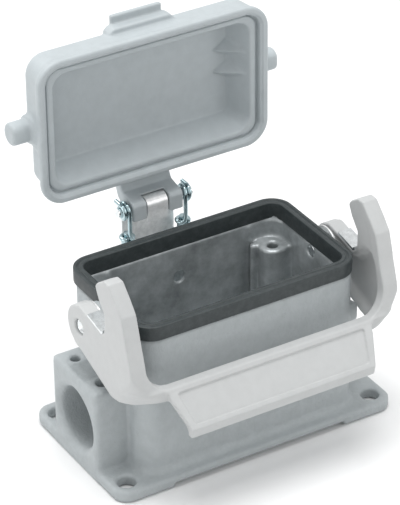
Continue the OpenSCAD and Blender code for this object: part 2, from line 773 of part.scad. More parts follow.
module lever_body() {
    difference() {
        intersection() {
            along_x(-arm_out, arm_out) arm_outline();
            lever_plan();
        }
        intersection() {
            along_x(-arm_in, arm_in) behind_flange();
            plan_round(arm_in, bar_y - flange_t, corner_r - flange_t, -arm_r, arm_r);
        }
        intersection() {
            along_x(-web_in, web_in) bay_profile();
            plan_round(web_in, bar_y - flange_t, corner_r - web_t, -arm_r, arm_r);
        }
        // the opening between the arms, above the bar
        translate([0, 0, -bar_drop + arm_r]) rotate([90, 0, 0])
            linear_extrude(4 * arm_r, center = true) round_rect(2 * arm_in, 2 * arm_r, mouth_r);
    }
    handle();
    // small shelves that sit on the housing's lugs
    for (sx = [0, 1]) mirror([sx, 0, 0])
        translate([tower_l / 2 + lug_l * 0.5, lug_y + lug_w * 0.2, lug_top - pivot_z + side_gap])
            cube([web_in + web_t / 2 - tower_l / 2 - lug_l * 0.5, lug_w * 0.6, web_t * 0.5]);
}

module lever() {
    color(lever_grey)
        translate([0, 0, pivot_z]) rotate([-lever_angle, 0, 0]) difference() {
            lever_body();
            bar_x(-arm_out - 1, arm_out + 1, 0, 0, pivot_d / 2 + pivot_gap);
        }
}

// Spring-steel leaf that lines each hook's slot
module leaf_profile() {
    grip = peg_r * 1.5;
    intersection() {
        difference() {
            slot_profile();
            offset(delta = -leaf_t) slot_profile();
        }
        translate(seat - [peg_r, 2 * peg_r]) square([peg_r + grip, 1.4 * peg_r]);
    }
}

module lever_leaf(side) {
    x0 = arm_in + 0.3;
    x1 = arm_out - 0.3;
    color(steel) translate([0, 0, pivot_z]) rotate([-lever_angle, 0, 0])
        along_x(side > 0 ? x0 : -x1, side > 0 ? x1 : -x0) leaf_profile();
}
module lever_leaf_left() { lever_leaf(-1); }
module lever_leaf_right() { lever_leaf(1); }

// The thin end is riveted in the wall, and the shoulder stops in the boss.
module pivot_pin(side) {
    color(steel) mirror([side > 0 ? 0 : 1, 0, 0]) {
        bar_x(cavity_l / 2 + 0.2, cavity_l / 2 + tenon_l + eps, 0, pivot_z, tenon_d / 2);
        bar_x(cavity_l / 2 + tenon_l, arm_out - 0.8, 0, pivot_z, pivot_d / 2);
    }
}
module pivot_pin_left() { pivot_pin(-1); }
module pivot_pin_right() { pivot_pin(1); }

module pivot_washer(side) {
    x0 = boss_end;
    x1 = boss_end + washer_t;
    color(steel) difference() {
        bar_x(side > 0 ? x0 : -x1, side > 0 ? x1 : -x0, 0, pivot_z, boss_r + 0.6);
        bar_x(-x1 - 1, x1 + 1, 0, pivot_z, pivot_d / 2);
    }
}
module pivot_washer_left() { pivot_washer(-1); }
module pivot_washer_right() { pivot_washer(1); }

housing();
rim_seal();
cover();
hinge_pin();
hinge_bracket();
bracket_rivet();
spring_stud_left();
spring_stud_right();
hinge_spring_left();
hinge_spring_right();
lever();
lever_leaf_left();
lever_leaf_right();
pivot_pin_left();
pivot_pin_right();
pivot_washer_left();
pivot_washer_right();
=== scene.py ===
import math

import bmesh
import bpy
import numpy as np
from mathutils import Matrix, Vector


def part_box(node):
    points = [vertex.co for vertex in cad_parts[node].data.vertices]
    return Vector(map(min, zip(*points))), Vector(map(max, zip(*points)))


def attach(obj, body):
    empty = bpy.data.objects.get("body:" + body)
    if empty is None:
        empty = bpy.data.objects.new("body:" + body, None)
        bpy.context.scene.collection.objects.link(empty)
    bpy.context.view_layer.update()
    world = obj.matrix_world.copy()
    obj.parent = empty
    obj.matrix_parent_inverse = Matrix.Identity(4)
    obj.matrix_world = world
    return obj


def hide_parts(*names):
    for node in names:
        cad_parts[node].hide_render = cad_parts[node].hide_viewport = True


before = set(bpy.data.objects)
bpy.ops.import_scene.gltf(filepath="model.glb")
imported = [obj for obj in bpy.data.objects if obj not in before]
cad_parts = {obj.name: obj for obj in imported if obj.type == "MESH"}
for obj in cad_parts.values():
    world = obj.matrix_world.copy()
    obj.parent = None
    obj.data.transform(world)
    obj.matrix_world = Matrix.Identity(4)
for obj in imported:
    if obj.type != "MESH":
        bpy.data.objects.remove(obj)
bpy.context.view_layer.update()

# %% [markdown]
# # A surface-mount connector housing, dressed for its portrait
# The construction model has already been loaded as a fixed frame: every casting,
# pin and spring stands where the machine puts it. This script only adds looks.
# The lengths below are written in millimetres, because the maker's drawings are,
# and MM turns them into Blender's metres.

MM = 0.001

# %% [markdown]
# ## The camera
# A product is usually shot with a long lens from a little above, so that its
# upright edges stay nearly parallel. The camera is placed by two angles, a
# distance and a small sideways aim, which is easier to read than a matrix.

# %% Camera
FOCAL_MM = 262.68
SENSOR_MM = 36.0
AZIMUTH, ELEVATION, ROLL = -30.78, 31.57, -0.69
DISTANCE = 836.74 * MM
AIM = Vector((0, 0, 30 * MM))
AIM_RIGHT, AIM_DOWN = 3.87 * MM, 21.31 * MM


def add_camera():
    """Back points from the aim to the camera; right and up complete the frame
    and are turned about the line of sight by the roll."""
    az, el, roll = (math.radians(a) for a in (AZIMUTH, ELEVATION, ROLL))
    back = Vector((math.sin(az) * math.cos(el), -math.cos(az) * math.cos(el), math.sin(el)))
    right = Vector((math.cos(az), math.sin(az), 0))
    up = back.cross(right)
    tilted_right = right * math.cos(roll) + up * math.sin(roll)
    tilted_up = up * math.cos(roll) - right * math.sin(roll)
    place = AIM - tilted_right * AIM_RIGHT + tilted_up * AIM_DOWN + back * DISTANCE
    data = bpy.data.cameras.new("portrait_camera")
    data.lens, data.sensor_width, data.sensor_fit = FOCAL_MM, SENSOR_MM, "HORIZONTAL"
    data.clip_start, data.clip_end = 0.05, 20
    camera = bpy.data.objects.new("portrait_camera", data)
    bpy.context.collection.objects.link(camera)
    turn = Matrix((tilted_right, tilted_up, back)).transposed().to_4x4()
    camera.matrix_world = Matrix.Translation(place) @ turn
    bpy.context.scene.camera = camera
    return camera


camera = add_camera()
print("camera at", [round(v, 3) for v in camera.matrix_world.translation])

# %% [markdown]
# ## Castings as fields of distance
# A die casting has no sharp edges: molten metal leaves every corner round and
# every inner corner filled. Bevelling a built-up mesh struggles where many faces
# meet. A distance field doesn't: each form is a function that is negative inside
# and positive outside, two forms are joined by one formula that leaves a fillet,
# and the surface is found at the end, where the field is zero.

# %% The grammar of a field
def round_rect(u, v, half_u, half_v, r):
    """Distance to a rectangle with round corners: how far the point lies outside
    the rectangle shrunk by r, less r."""
    p, q = np.abs(u) - (half_u - r), np.abs(v) - (half_v - r)
    return np.hypot(np.maximum(p, 0), np.maximum(q, 0)) + np.minimum(np.maximum(p, q), 0) - r


def slab(w, low, high):
    """Distance to the space between two parallel planes."""
    return np.abs(w - (low + high) / 2) - (high - low) / 2


def rod(u, v, centre_u, centre_v, r):
    """Distance to a round rod that runs along the third axis."""
    return np.hypot(u - centre_u, v - centre_v) - r


def both(a, b, r):
    """Inside a and inside b, their shared edge rounded to radius r."""
    return np.minimum(-r, np.maximum(a, b)) + np.hypot(np.maximum(a + r, 0), np.maximum(b + r, 0))


def join(a, b, r):
    """Inside a or inside b, the inner corner filled to radius r."""
    return np.maximum(r, np.minimum(a, b)) - np.hypot(np.maximum(r - a, 0), np.maximum(r - b, 0))


def cut(a, b, r):
    """Inside a and outside b, the edge rounded to radius r."""
    return both(a, -b, r)


def outline(u, v, points):
    """Distance to a polygon: the nearest of its edges, negative where a ray from
    the point crosses the edges an odd number of times."""
    a = np.asarray(points, float)
    b = np.roll(a, -1, axis=0)
    edge = b - a
    du, dv = u[..., None] - a[:, 0], v[..., None] - a[:, 1]
    along = np.clip((du * edge[:, 0] + dv * edge[:, 1]) / (edge ** 2).sum(axis=1), 0, 1)
    gap = np.hypot(du - along * edge[:, 0], dv - along * edge[:, 1]).min(axis=-1)
    rising = (a[:, 1] <= v[..., None]) & (b[:, 1] > v[..., None])
    falling = (b[:, 1] <= v[..., None]) & (a[:, 1] > v[..., None])
    side = edge[:, 0] * dv - edge[:, 1] * du
    crossings = (rising & (side > 0)).sum(axis=-1) - (falling & (side < 0)).sum(axis=-1)
    return np.where(crossings != 0, -gap, gap)


# %% [markdown]
# ## From field to skin
# The field is sampled on a grid. Wherever a grid edge changes sign, the surface
# crosses it. Each grid cell that is crossed gets one vertex at the mean of its
# crossings, and each crossed edge gets one four-sided face around it. The method
# is known as surface nets, and numpy does it for all cells at once.

# %% Surface nets
def axes_of(low, high, cell):
    """Three thin arrays that numpy broadcasts to the whole grid."""
    lines = [np.arange(a - 2 * cell, b + 3 * cell, cell) for a, b in zip(low, high)]
    return (lines[0][:, None, None], lines[1][None, :, None], lines[2][None, None, :])


def surface_nets(field, start, cell):
    """Vertices and four-sided faces where the sampled field is zero."""
    shape = np.array(field.shape)
    steps = np.array([shape[1] * shape[2], shape[2], 1])
    flat = field.ravel()
    keys, spots, faces = [], [], []
    for axis in range(3):
        second, third = (axis + 1) % 3, (axis + 2) % 3
        here = np.moveaxis(field, axis, 0)
        crossed = np.moveaxis((here[:-1] < 0) != (here[1:] < 0), 0, axis)
        place = np.argwhere(crossed)
        first = place @ steps
        before, after = flat[first], flat[first + steps[axis]]
        spot = place.astype(float)
        spot[:, axis] += before / (before - after)
        ring = np.stack([first - steps[second] - steps[third], first - steps[third],
                         first, first - steps[second]], axis=1)
        ring[after < 0] = ring[after < 0][:, ::-1]
        faces.append(ring)
        keys.append(ring.ravel())
        spots.append(np.repeat(spot, 4, axis=0))
    faces = np.concatenate(faces)
    cells, index = np.unique(np.concatenate(keys), return_inverse=True)
    spots = np.concatenate(spots)
    tally = np.bincount(index)
    mean = np.stack([np.bincount(index, weights=spots[:, k]) / tally for k in range(3)], axis=1)
    return np.array(start) + mean * cell, np.searchsorted(cells, faces)


def mesh_piece(name, points, faces, body, material, node=None):
    """Put arrays of points (mm) and faces into a mesh and tie it to its body."""
    mesh = bpy.data.meshes.new(name)
    sides = faces.shape[1]
    mesh.vertices.add(len(points))
    mesh.vertices.foreach_set("co", (np.asarray(points) * MM).astype(np.float32).ravel())
    mesh.loops.add(faces.size)
    mesh.loops.foreach_set("vertex_index", faces.astype(np.int32).ravel())
    mesh.polygons.add(len(faces))
    mesh.polygons.foreach_set("loop_start", np.arange(0, faces.size, sides, dtype=np.int32))
    mesh.update(calc_edges=True)
    mesh.shade_smooth()
    mesh.materials.append(material)
    piece = bpy.data.objects.new(name, mesh)
    bpy.context.collection.objects.link(piece)
    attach(piece, body)
    if node:
        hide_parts(*([node] if isinstance(node, str) else node))
    print(name, len(points), "points,", len(faces), "faces")
    return piece


def cast_piece(name, field, low, high, cell, body, material, node, place=None):
    """Sample a field between two corners and skin it; no point may pass the
    corners. place may move the points afterwards."""
    x, y, z = axes_of(low, high, cell)
    sampled = np.broadcast_to(field(x, y, z), (x.size, y.size, z.size))
    start = (x[0, 0, 0], y[0, 0, 0], z[0, 0, 0])
    points, faces = surface_nets(np.ascontiguousarray(sampled), start, cell)
    points = np.clip(points, low, high)
    if place:
        points = place(points)
    return mesh_piece(name, points, faces, body, material, node)


# %% [markdown]
# ## Finishes
# The castings are powder coated: the paint hides the metal but follows its
# slightly pebbly skin, so the bump matters more than the colour. A number that is
# the same all over a piece sits on the shader's own socket.

# %% Material helpers
def new_material(name, colour, roughness, metallic=0.0):
    """A Principled shader whose even values sit on its own sockets."""
    material = bpy.data.materials.new(name)
    material.use_nodes = True
    shader = material.node_tree.nodes["Principled BSDF"]
    shader.inputs["Base Color"].default_value = (*colour, 1)
    shader.inputs["Roughness"].default_value = roughness
    shader.inputs["Metallic"].default_value = metallic
    return material, shader


def add_node(material, kind, **settings):
    """A new node in the material, with its settings."""
    node = material.node_tree.nodes.new(kind)
    for key, value in settings.items():
        setattr(node, key, value)
    return node


def noise(material, scale, detail=3.0, roughness=0.5):
    """Noise on object coordinates, whose scale is in features per metre."""
    place = add_node(material, "ShaderNodeTexCoord")
    node = add_node(material, "ShaderNodeTexNoise")
    node.inputs["Scale"].default_value = scale
    node.inputs["Detail"].default_value = detail
    node.inputs["Roughness"].default_value = roughness
    material.node_tree.links.new(place.outputs["Object"], node.inputs["Vector"])
    return node.outputs["Fac"]


def ramp(material, factor, stops):
    """Map a factor to colours through (position, colour) stops."""
    node = add_node(material, "ShaderNodeValToRGB")
    while len(node.color_ramp.elements) < len(stops):
        node.color_ramp.elements.new(0.5)
    for element, (position, colour) in zip(node.color_ramp.elements, stops):
        element.position, element.color = position, (*colour, 1)
    material.node_tree.links.new(factor, node.inputs["Fac"])
    return node.outputs["Color"]


def shade(colour, factor):
    """The colour made darker or lighter, at most 1."""
    return tuple(min(1.0, c * factor) for c in colour)


def bump(material, shader, layers):
    """Stack (height, depth in metres) layers and bend the shader's normal."""
    links, below = material.node_tree.links, None
    for height, depth in layers:
        node = add_node(material, "ShaderNodeBump")
        node.inputs["Distance"].default_value = depth
        links.new(height, node.inputs["Height"])
        if below:
            links.new(below, node.inputs["Normal"])
        below = node.outputs["Normal"]
    links.new(below, shader.inputs["Normal"])


# %% Powder coat
def powder_coat(name, colour, roughness=0.5, pebble=0.05, swirl=0.03):
    """Colour wanders a little over a few millimetres; pebbles about a millimetre
    across and finer grains bend the light."""
    material, shader = new_material(name, colour, roughness)
    wander = ramp(material, noise(material, 320, 4, 0.6),
                  [(0.35, shade(colour, 1 - swirl)), (0.65, shade(colour, 1 + swirl))])
    material.node_tree.links.new(wander, shader.inputs["Base Color"])
    bump(material, shader, [(noise(material, 900, 2, 0.5), pebble * MM),
                            (noise(material, 2600, 2, 0.6), 0.35 * pebble * MM)])
    shader.inputs["Specular IOR Level"].default_value = 0.4
    return material


HOUSING_GREY = (0.405, 0.435, 0.445)
COVER_GREY = (0.45, 0.49, 0.507)
LEVER_GREY = (0.52, 0.53, 0.53)
cover_paint = powder_coat("cover_paint", COVER_GREY, 0.5, 0.03)
lever_paint = powder_coat("lever_paint", LEVER_GREY, 0.42, 0.02, 0.02)

# %% [markdown]
# The housing is painted outside only. Its inside was masked, so it shows bare,
# slightly stained aluminium. One material does both: a step on the object's own
# coordinates tells the inside of the tower from the outside.

# %% Painted outside, bare inside
def between(material, value, low, high):
    """1 where value lies between low and high, else 0."""
    links = material.node_tree.links
    above = add_node(material, "ShaderNodeMath", operation="GREATER_THAN")
    below = add_node(material, "ShaderNodeMath", operation="LESS_THAN")
    times = add_node(material, "ShaderNodeMath", operation="MULTIPLY")
    links.new(value, above.inputs[0])
    links.new(value, below.inputs[0])
    above.inputs[1].default_value, below.inputs[1].default_value = low, high
    links.new(above.outputs[0], times.inputs[0])
    links.new(below.outputs[0], times.inputs[1])
    return times.outputs[0]


def housing_finish(inner_x, inner_y, inner_z):
    """Powder coat mixed with bare metal inside the box that the numbers give."""
    material = powder_coat("housing_paint", HOUSING_GREY, 0.55, 0.2, 0.04)
    nodes, links = material.node_tree.nodes, material.node_tree.links
    paint = nodes["Principled BSDF"]
    metal = add_node(material, "ShaderNodeBsdfPrincipled")
    stains = ramp(material, noise(material, 120, 5, 0.65),
                  [(0.3, (0.26, 0.28, 0.285)), (0.55, (0.46, 0.49, 0.50)),
                   (0.8, (0.68, 0.71, 0.72))])
    links.new(stains, metal.inputs["Base Color"])
    metal.inputs["Metallic"].default_value = 0.45
    metal.inputs["Roughness"].default_value = 0.42
    grain = add_node(material, "ShaderNodeBump")
    grain.inputs["Distance"].default_value = 0.03 * MM
    links.new(noise(material, 1100, 3, 0.6), grain.inputs["Height"])
    links.new(grain.outputs["Normal"], metal.inputs["Normal"])
    place = add_node(material, "ShaderNodeTexCoord")
    split = add_node(material, "ShaderNodeSeparateXYZ")
    links.new(place.outputs["Object"], split.inputs[0])
    inside = None
    for axis, half in (("X", inner_x), ("Y", inner_y)):
        mask = between(material, split.outputs[axis], -half, half)
        if inside:
            times = add_node(material, "ShaderNodeMath", operation="MULTIPLY")
            links.new(inside, times.inputs[0])
            links.new(mask, times.inputs[1])
            mask = times.outputs[0]
        inside = mask
    above = between(material, split.outputs["Z"], inner_z, 1.0)
    times = add_node(material, "ShaderNodeMath", operation="MULTIPLY")
    links.new(inside, times.inputs[0])
    links.new(above, times.inputs[1])
    mix = add_node(material, "ShaderNodeMixShader")
    links.new(times.outputs[0], mix.inputs["Fac"])
    links.new(paint.outputs[0], mix.inputs[1])
    links.new(metal.outputs[0], mix.inputs[2])
    links.new(mix.outputs[0], nodes["Material Output"].inputs["Surface"])
    return material


# %% Rubber and plated steel
def seal_rubber():
    """Near-black moulded rubber with a faint bloom of dust."""
    material, shader = new_material("seal_rubber", (0.03, 0.04, 0.042), 0.5)
    bloom = ramp(material, noise(material, 500, 4, 0.7),
                 [(0.4, (0.026, 0.034, 0.036)), (0.75, (0.05, 0.06, 0.062))])
    material.node_tree.links.new(bloom, shader.inputs["Base Color"])
    bump(material, shader, [(noise(material, 1800, 2, 0.5), 0.015 * MM)])
    return material


def plated_steel(name, colour, roughness, metallic=1.0):
    """Zinc plate: bright, with a slight cloudiness in colour and in gloss."""
    material, shader = new_material(name, colour, roughness, metallic)
    cloud = noise(material, 700, 3, 0.6)
    tint = ramp(material, cloud, [(0.3, shade(colour, 0.85)), (0.7, shade(colour, 1.08))])
    material.node_tree.links.new(tint, shader.inputs["Base Color"])
    bump(material, shader, [(noise(material, 1500, 2, 0.5), 0.006 * MM)])
    return material


rubber = seal_rubber()
bright_steel = plated_steel("bright_steel", (0.80, 0.83, 0.84), 0.22)
sheet_steel = plated_steel("sheet_steel", (0.92, 0.93, 0.93), 0.3, 0.4)
spring_steel = plated_steel("spring_steel", (0.45, 0.57, 0.60), 0.16)
print("finishes:", ", ".join(m.name for m in bpy.data.materials))

# %% [markdown]
# ## The housing
# Base plate, tower, cable-entry block, screw posts, pivot bosses and lugs are one
# casting, so they are one field. The order is the founder's: first the outside is
# joined up with generous fillets, then the cavity is taken out, then the posts
# grow inside it, and last the drill makes its sharp-edged holes.

# %% Housing sizes
lo, hi = (np.array(c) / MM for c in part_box("housing"))
BASE_HALF = (hi[:2] - lo[:2]) / 2
RIM_Z = hi[2]
PLATE, PLATE_R, FOOT, FOOT_IN = 3.6, 5.0, 1.5, 28.4
TOWER_HALF, TOWER_R, WALL, LEDGE = np.array([34.9, 20.8]), 5.6, 2.0, 0.7
CAVITY_HALF, CAVITY_R, FLOOR_Z = TOWER_HALF - WALL, 5.0, 4.1
SEAL_TOP, SKIRT_Z, LEG_Z, LEG = RIM_Z + 1.2, RIM_Z - 3.3, RIM_Z - 4.1, 0.6
POST_X, POST_Y, POST_R, POST_Z = 28.5, 13.5, 4.2, RIM_Z - 9.6
INSERT_R, INSERT_DEEP = 1.65, 12
MOUNT_X, MOUNT_Y, MOUNT_R = 41, 20, 2.75
ENTRY_HALF_W, ENTRY_H, ENTRY_Z, ENTRY_R, ENTRY_FLARE = 12.6, 29.7, 15.0, 9.25, 1.4
BLIND_IN, BLIND_Y, BLIND_R, BLIND_DEEP = 5, 7.45, 1.5, 3.4
PANEL_FROM, PANEL_TO, PANEL_HALF_W, PANEL_DEEP = -44.3, -38.3, 4.5, 0.45
PIVOT_Z, PIVOT_R, BOSS_R = 44.9, 2.4, 5.6
ARM_OUT, ARM_IN = 43.8, 38.8
WEB_IN = ARM_OUT - 2.6
BOSS_END = ARM_IN - 0.7
PIN_END_R, PIN_STEP = 1.8, 1.0
LUG_DROP, LUG_H, LUG_FROM, LUG_TO, LUG_END = 9.4, 5.5, -18.8, -15.4, 37.4
RIVET_Z, RIVET_R = 37.0, 1.9
print("tower half sizes", TOWER_HALF, "rim at", round(float(RIM_Z), 2))


# %% Housing outside
def outer_form(x, y, z):
    """Plate, tower and entry block, joined by fillets. Below the seal's skirt the
    tower steps out by a small ledge, except on the hinge's side."""
    plate = both(round_rect(x, y, *BASE_HALF, PLATE_R), slab(z, 0, PLATE), 0.7)
    plate = cut(plate, np.maximum(np.abs(x) - FOOT_IN, z - FOOT), 0.3)
    plan = round_rect(x, y, *TOWER_HALF, TOWER_R)
    tower = both(plan, slab(z, FOOT, RIM_Z), 0.3)
    ledge = LEDGE * np.clip((18 - y) / 3, 0, 1)
    tower = np.minimum(tower, both(plan - ledge, slab(z, FOOT, SKIRT_Z - 0.25), 0.25))
    body = join(plate, tower, 2.2)
    block_plan = both(slab(x, -BASE_HALF[0], -TOWER_HALF[0] + WALL),
                      slab(y, -ENTRY_HALF_W, ENTRY_HALF_W), 1.4)
    block = both(block_plan, slab(z, 0.2, ENTRY_H), 1.2)
    return join(body, block, 1.0)


def lugs_and_bosses(x, y, z):
    """Pivot bosses, flat under the seal's skirt, and the stops for the lever."""
    boss = both(rod(y, z, 0, PIVOT_Z, BOSS_R), slab(np.abs(x), 33, BOSS_END), 0.3)
    skirt = round_rect(x, y, *(TOWER_HALF + 1.1), TOWER_R + 1)
    under = np.maximum(skirt, SKIRT_Z - 0.05 - z)
    boss = np.maximum(boss, -under)
    lug_top = PIVOT_Z - LUG_DROP
    lug = both(slab(z, lug_top - LUG_H, lug_top), slab(y, LUG_FROM, LUG_TO), 0.6)
    lug = both(lug, slab(np.abs(x), 33, LUG_END), 1.2)
    return np.minimum(boss, lug)


# %% Housing inside
def post_form(x, y, z):
    """A screw post in each corner: a round front and two webs to the walls, with
    shallow flutes where the ejector left them."""
    ax, ay = np.abs(x), np.abs(y)
    post = rod(ax, ay, POST_X, POST_Y, POST_R)
    web = 3.4
    to_end = both(slab(ax, POST_X, CAVITY_HALF[0] + 1), slab(ay, POST_Y - web, POST_Y + web), 0.5)
    to_side = both(slab(ay, POST_Y, CAVITY_HALF[1] + 1), slab(ax, POST_X - web, POST_X + web), 0.5)
    plan = join(join(post, to_end, 0.5), to_side, 0.5)
    plan = join(plan, rod(ax, ay, POST_X - 4.6, POST_Y + 3.1, 1.2), 0.4)
    post_body = both(plan, slab(z, FLOOR_Z - 0.5, POST_Z), 0.4)
    rib = both(slab(ax, POST_X - 5.2, POST_X - 4.1),
               slab(ay, CAVITY_HALF[1] - 0.5, CAVITY_HALF[1] + 1), 0.3)
    return np.minimum(post_body, both(rib, slab(z, FLOOR_Z, RIM_Z - 5), 0.3))


def drilled(x, y, z):
    """Every hole, as one field: mounting, insert, cable, blind, pivot and rivet."""
    ax, ay, from_end = np.abs(x), np.abs(y), x + BASE_HALF[0]
    holes = [np.maximum(rod(ax, ay, MOUNT_X, MOUNT_Y, MOUNT_R), slab(z, -1, 9)),
             np.maximum(rod(ax, ay, POST_X, POST_Y, INSERT_R),
                        slab(z, POST_Z - INSERT_DEEP, POST_Z + 3)),
             np.maximum(rod(y, z, 0, ENTRY_Z, ENTRY_R), slab(x, -60, -32)),
             np.maximum(rod(y, z, 0, ENTRY_Z, ENTRY_R + ENTRY_FLARE - from_end), slab(x, -60, -40)),
             np.maximum(rod(from_end, ay, BLIND_IN, BLIND_Y, BLIND_R),
                        slab(z, ENTRY_H - BLIND_DEEP, 40)),
             np.maximum(rod(y, z, 0, PIVOT_Z, PIVOT_R), slab(ax, CAVITY_HALF[0] + PIN_STEP, 60)),
             np.maximum(rod(y, z, 0, PIVOT_Z, PIN_END_R), slab(ax, 31, 60)),
             np.maximum(rod(x, z, 0, RIVET_Z, RIVET_R), slab(y, 17, 30))]
    field = holes[0]
    for hole in holes[1:]:
        field = np.minimum(field, hole)
    return field


def housing_field(x, y, z):
    """Outside, less the hollow, plus the posts, less the seal's seat and all holes."""
    body = join(outer_form(x, y, z), lugs_and_bosses(x, y, z), 0.4)
    hollow = both(round_rect(x, y, *CAVITY_HALF, CAVITY_R), slab(z, FLOOR_Z, 70), 0.8)
    body = cut(body, hollow, 0.2)
    in_walls = round_rect(x, y, *(TOWER_HALF - 1), TOWER_R - 1)
    body = join(body, np.maximum(post_form(x, y, z), in_walls), 0.5)
    shelf = np.maximum(round_rect(x, y, *(CAVITY_HALF + LEG), CAVITY_R + LEG), LEG_Z - z)
    body = np.maximum(body, -shelf)
    sunk = both(slab(x, PANEL_FROM, PANEL_TO), slab(y, -PANEL_HALF_W, PANEL_HALF_W), 0.3)
    body = cut(body, np.maximum(sunk, ENTRY_H - PANEL_DEEP - z), 0.1)
    return cut(body, drilled(x, y, z), 0.25)


housing_paint = housing_finish((CAVITY_HALF[0] + 0.4) * MM, (CAVITY_HALF[1] + 0.4) * MM, 3 * MM)
cast_piece("housing_casting", housing_field, lo, hi, 0.62, "base",
           housing_paint, "housing")

# %% [markdown]
# ## The rim seal
# The seal is a moulded rubber channel pressed over the tower's rim. Its section is
# the same all the way round, so a closed profile is carried along a rounded
# rectangle. Each profile point is an outward offset and a height.

# %% A profile carried round a rectangle
def around(half_x, half_y, radius, corner_steps=16):
    """Points and outward normals of a rounded rectangle, corner after corner."""
    turn = np.linspace(0, math.pi / 2, corner_steps)
    angle = (np.arange(4)[:, None] * math.pi / 2 + turn).ravel()
    normal = np.stack([np.cos(angle), np.sin(angle)], axis=1)
    corner = np.array([[1, 1], [-1, 1], [-1, -1], [1, -1]]) * [half_x - radius, half_y - radius]
    return np.repeat(corner, corner_steps, axis=0) + radius * normal, normal


def loft_loop(path, normal, profile):
    """Grid of path x profile, closed both ways: point = path + offset * normal."""
    offset, height = np.asarray(profile, float).T
    n, m = len(path), len(offset)
    plan = path[:, None, :] + offset[None, :, None] * normal[:, None, :]
    points = np.dstack([plan, np.broadcast_to(height, (n, m))]).reshape(-1, 3)
    i, j = np.meshgrid(np.arange(n), np.arange(m), indexing="ij")
    i1, j1 = (i + 1) % n, (j + 1) % m
    faces = np.stack([i * m + j, i1 * m + j, i1 * m + j1, i * m + j1], axis=-1).reshape(-1, 4)
    return points, faces


def rounded_section(corners, radius, steps=4):
    """Round every corner of a closed section by a short arc between its sides:
    a quadratic curve from radius before the corner to radius after it."""
    corners = np.asarray(corners, float)
    before, after = np.roll(corners, 1, axis=0), np.roll(corners, -1, axis=0)
    into, away = before - corners, after - corners
    shorter = np.minimum(np.linalg.norm(into, axis=1), np.linalg.norm(away, axis=1))
    reach = np.minimum(radius, 0.45 * shorter)[:, None]
    start = corners + reach * into / np.linalg.norm(into, axis=1, keepdims=True)
    end = corners + reach * away / np.linalg.norm(away, axis=1, keepdims=True)
    t = np.linspace(0, 1, steps)[:, None, None]
    curve = (1 - t) ** 2 * start + 2 * t * (1 - t) * corners + t ** 2 * end
    return curve.transpose(1, 0, 2).reshape(-1, 2)


# %% Rim seal
SKIRT = 1.0
seal_path, seal_normal = around(*(TOWER_HALF + SKIRT), TOWER_R + SKIRT)
SEAL_IN, GROOVE_Z = -WALL - SKIRT, SEAL_TOP - 0.25
seal_section = [(-SKIRT, SKIRT_Z), (0, SKIRT_Z), (0, SEAL_TOP), (-1.0, SEAL_TOP), (-1.15, GROOVE_Z),
                (-1.75, GROOVE_Z), (-1.9, SEAL_TOP), (SEAL_IN, SEAL_TOP), (SEAL_IN, LEG_Z),
                (SEAL_IN + LEG, LEG_Z), (SEAL_IN + LEG, RIM_Z), (-SKIRT, RIM_Z)]
seal_points, seal_faces = loft_loop(seal_path, seal_normal, rounded_section(seal_section, 0.35))
mesh_piece("rubber_rim_seal", seal_points, seal_faces, "base", rubber, "rim_seal")

# %% [markdown]
# ## The cover
# The cover is worked out closed, lying on the seal, because then its rim is level
# and its walls are upright. A quarter turn about the hinge pin stands it up.

# %% Cover sizes and the swing
PIN_Y, PIN_Z = 33.0, SEAL_TOP + 3.0
COVER_Z = SEAL_TOP + 0.05
COVER_HALF, COVER_R, COVER_H = np.array([37.5, 22.6]), 7.5, 12.0
KNUCKLE_HALF, KNUCKLE_R, KNUCKLE_OUT, PIN_R = 8.4, 4.6, 3.3, 1.5
PEG_R, PEG_UP, PEG_END = 3.4, 7.25, ARM_OUT - 0.2
TAB_HALF_W, TAB_OUT = 8.2, 3.4
LANDS = ((1.9, 0.45), (2.6, 1.6))


def swing_open(points):
    """Turn by -90 degrees about the pin: (y, z) from the pin becomes (z, -y)."""
    dy, dz = points[:, 1] - PIN_Y, points[:, 2] - PIN_Z
    return np.stack([points[:, 0], PIN_Y + dz, PIN_Z - dy], axis=1)


# %% Cover field
def cover_field(x, y, z):
    """Shell, lands, hollow, tab and pegs in one field; the ribs and hinge arm join it in
    cover_casting.
    """
    h = z - COVER_Z
    half_x, half_y = COVER_HALF
    inset = 0.55 * np.clip((h - 1.6) / 1.4, 0, 1) + 0.10 * np.maximum(h - 3, 0)
    waist = 1.3 * np.clip((y - 5.2) / 2.4, 0, 1) * np.clip((h - 1.8) / 1.2, 0, 1)
    plan = round_rect(x, y, half_x, half_y, COVER_R) + inset + waist * (np.abs(x) > 25)
    shell = both(plan, slab(h, 0, COVER_H), 0.5)
    shell = np.maximum(shell, both(plan, h - COVER_H, 2.6))
    tab = both(slab(x, -TAB_HALF_W, TAB_HALF_W), slab(y, -half_y - TAB_OUT, -half_y + 4), 0.5)
    lip = both(tab, slab(h, COVER_H - 1.5, COVER_H), 0.4)
    root_side = np.abs(x) - 10.6 + 1.2 * np.clip(-half_y - y + 0.5, 0, 2)
    root_plan = both(root_side, slab(y, -half_y - 0.8, -half_y + 4), 0.5)
    root = both(root_plan, slab(h, COVER_H - 4.6, COVER_H - 0.6), 0.6)
    shell = join(join(shell, root, 0.8), lip, 0.5)
    peg = both(rod(y, h, 0, PEG_UP, PEG_R), PEG_UP - 3.0 - h, 0.6)
    peg = both(peg, slab(np.abs(x), 30, PEG_END), 0.9)
    collar = both(rod(y, h, 0, PEG_UP, PEG_R + 0.9), slab(np.abs(x), 30, half_x + 0.5), 0.5)
    shell = join(join(shell, collar, 1.0), peg, 0.6)
    return hollow_out(shell, x, y, h)


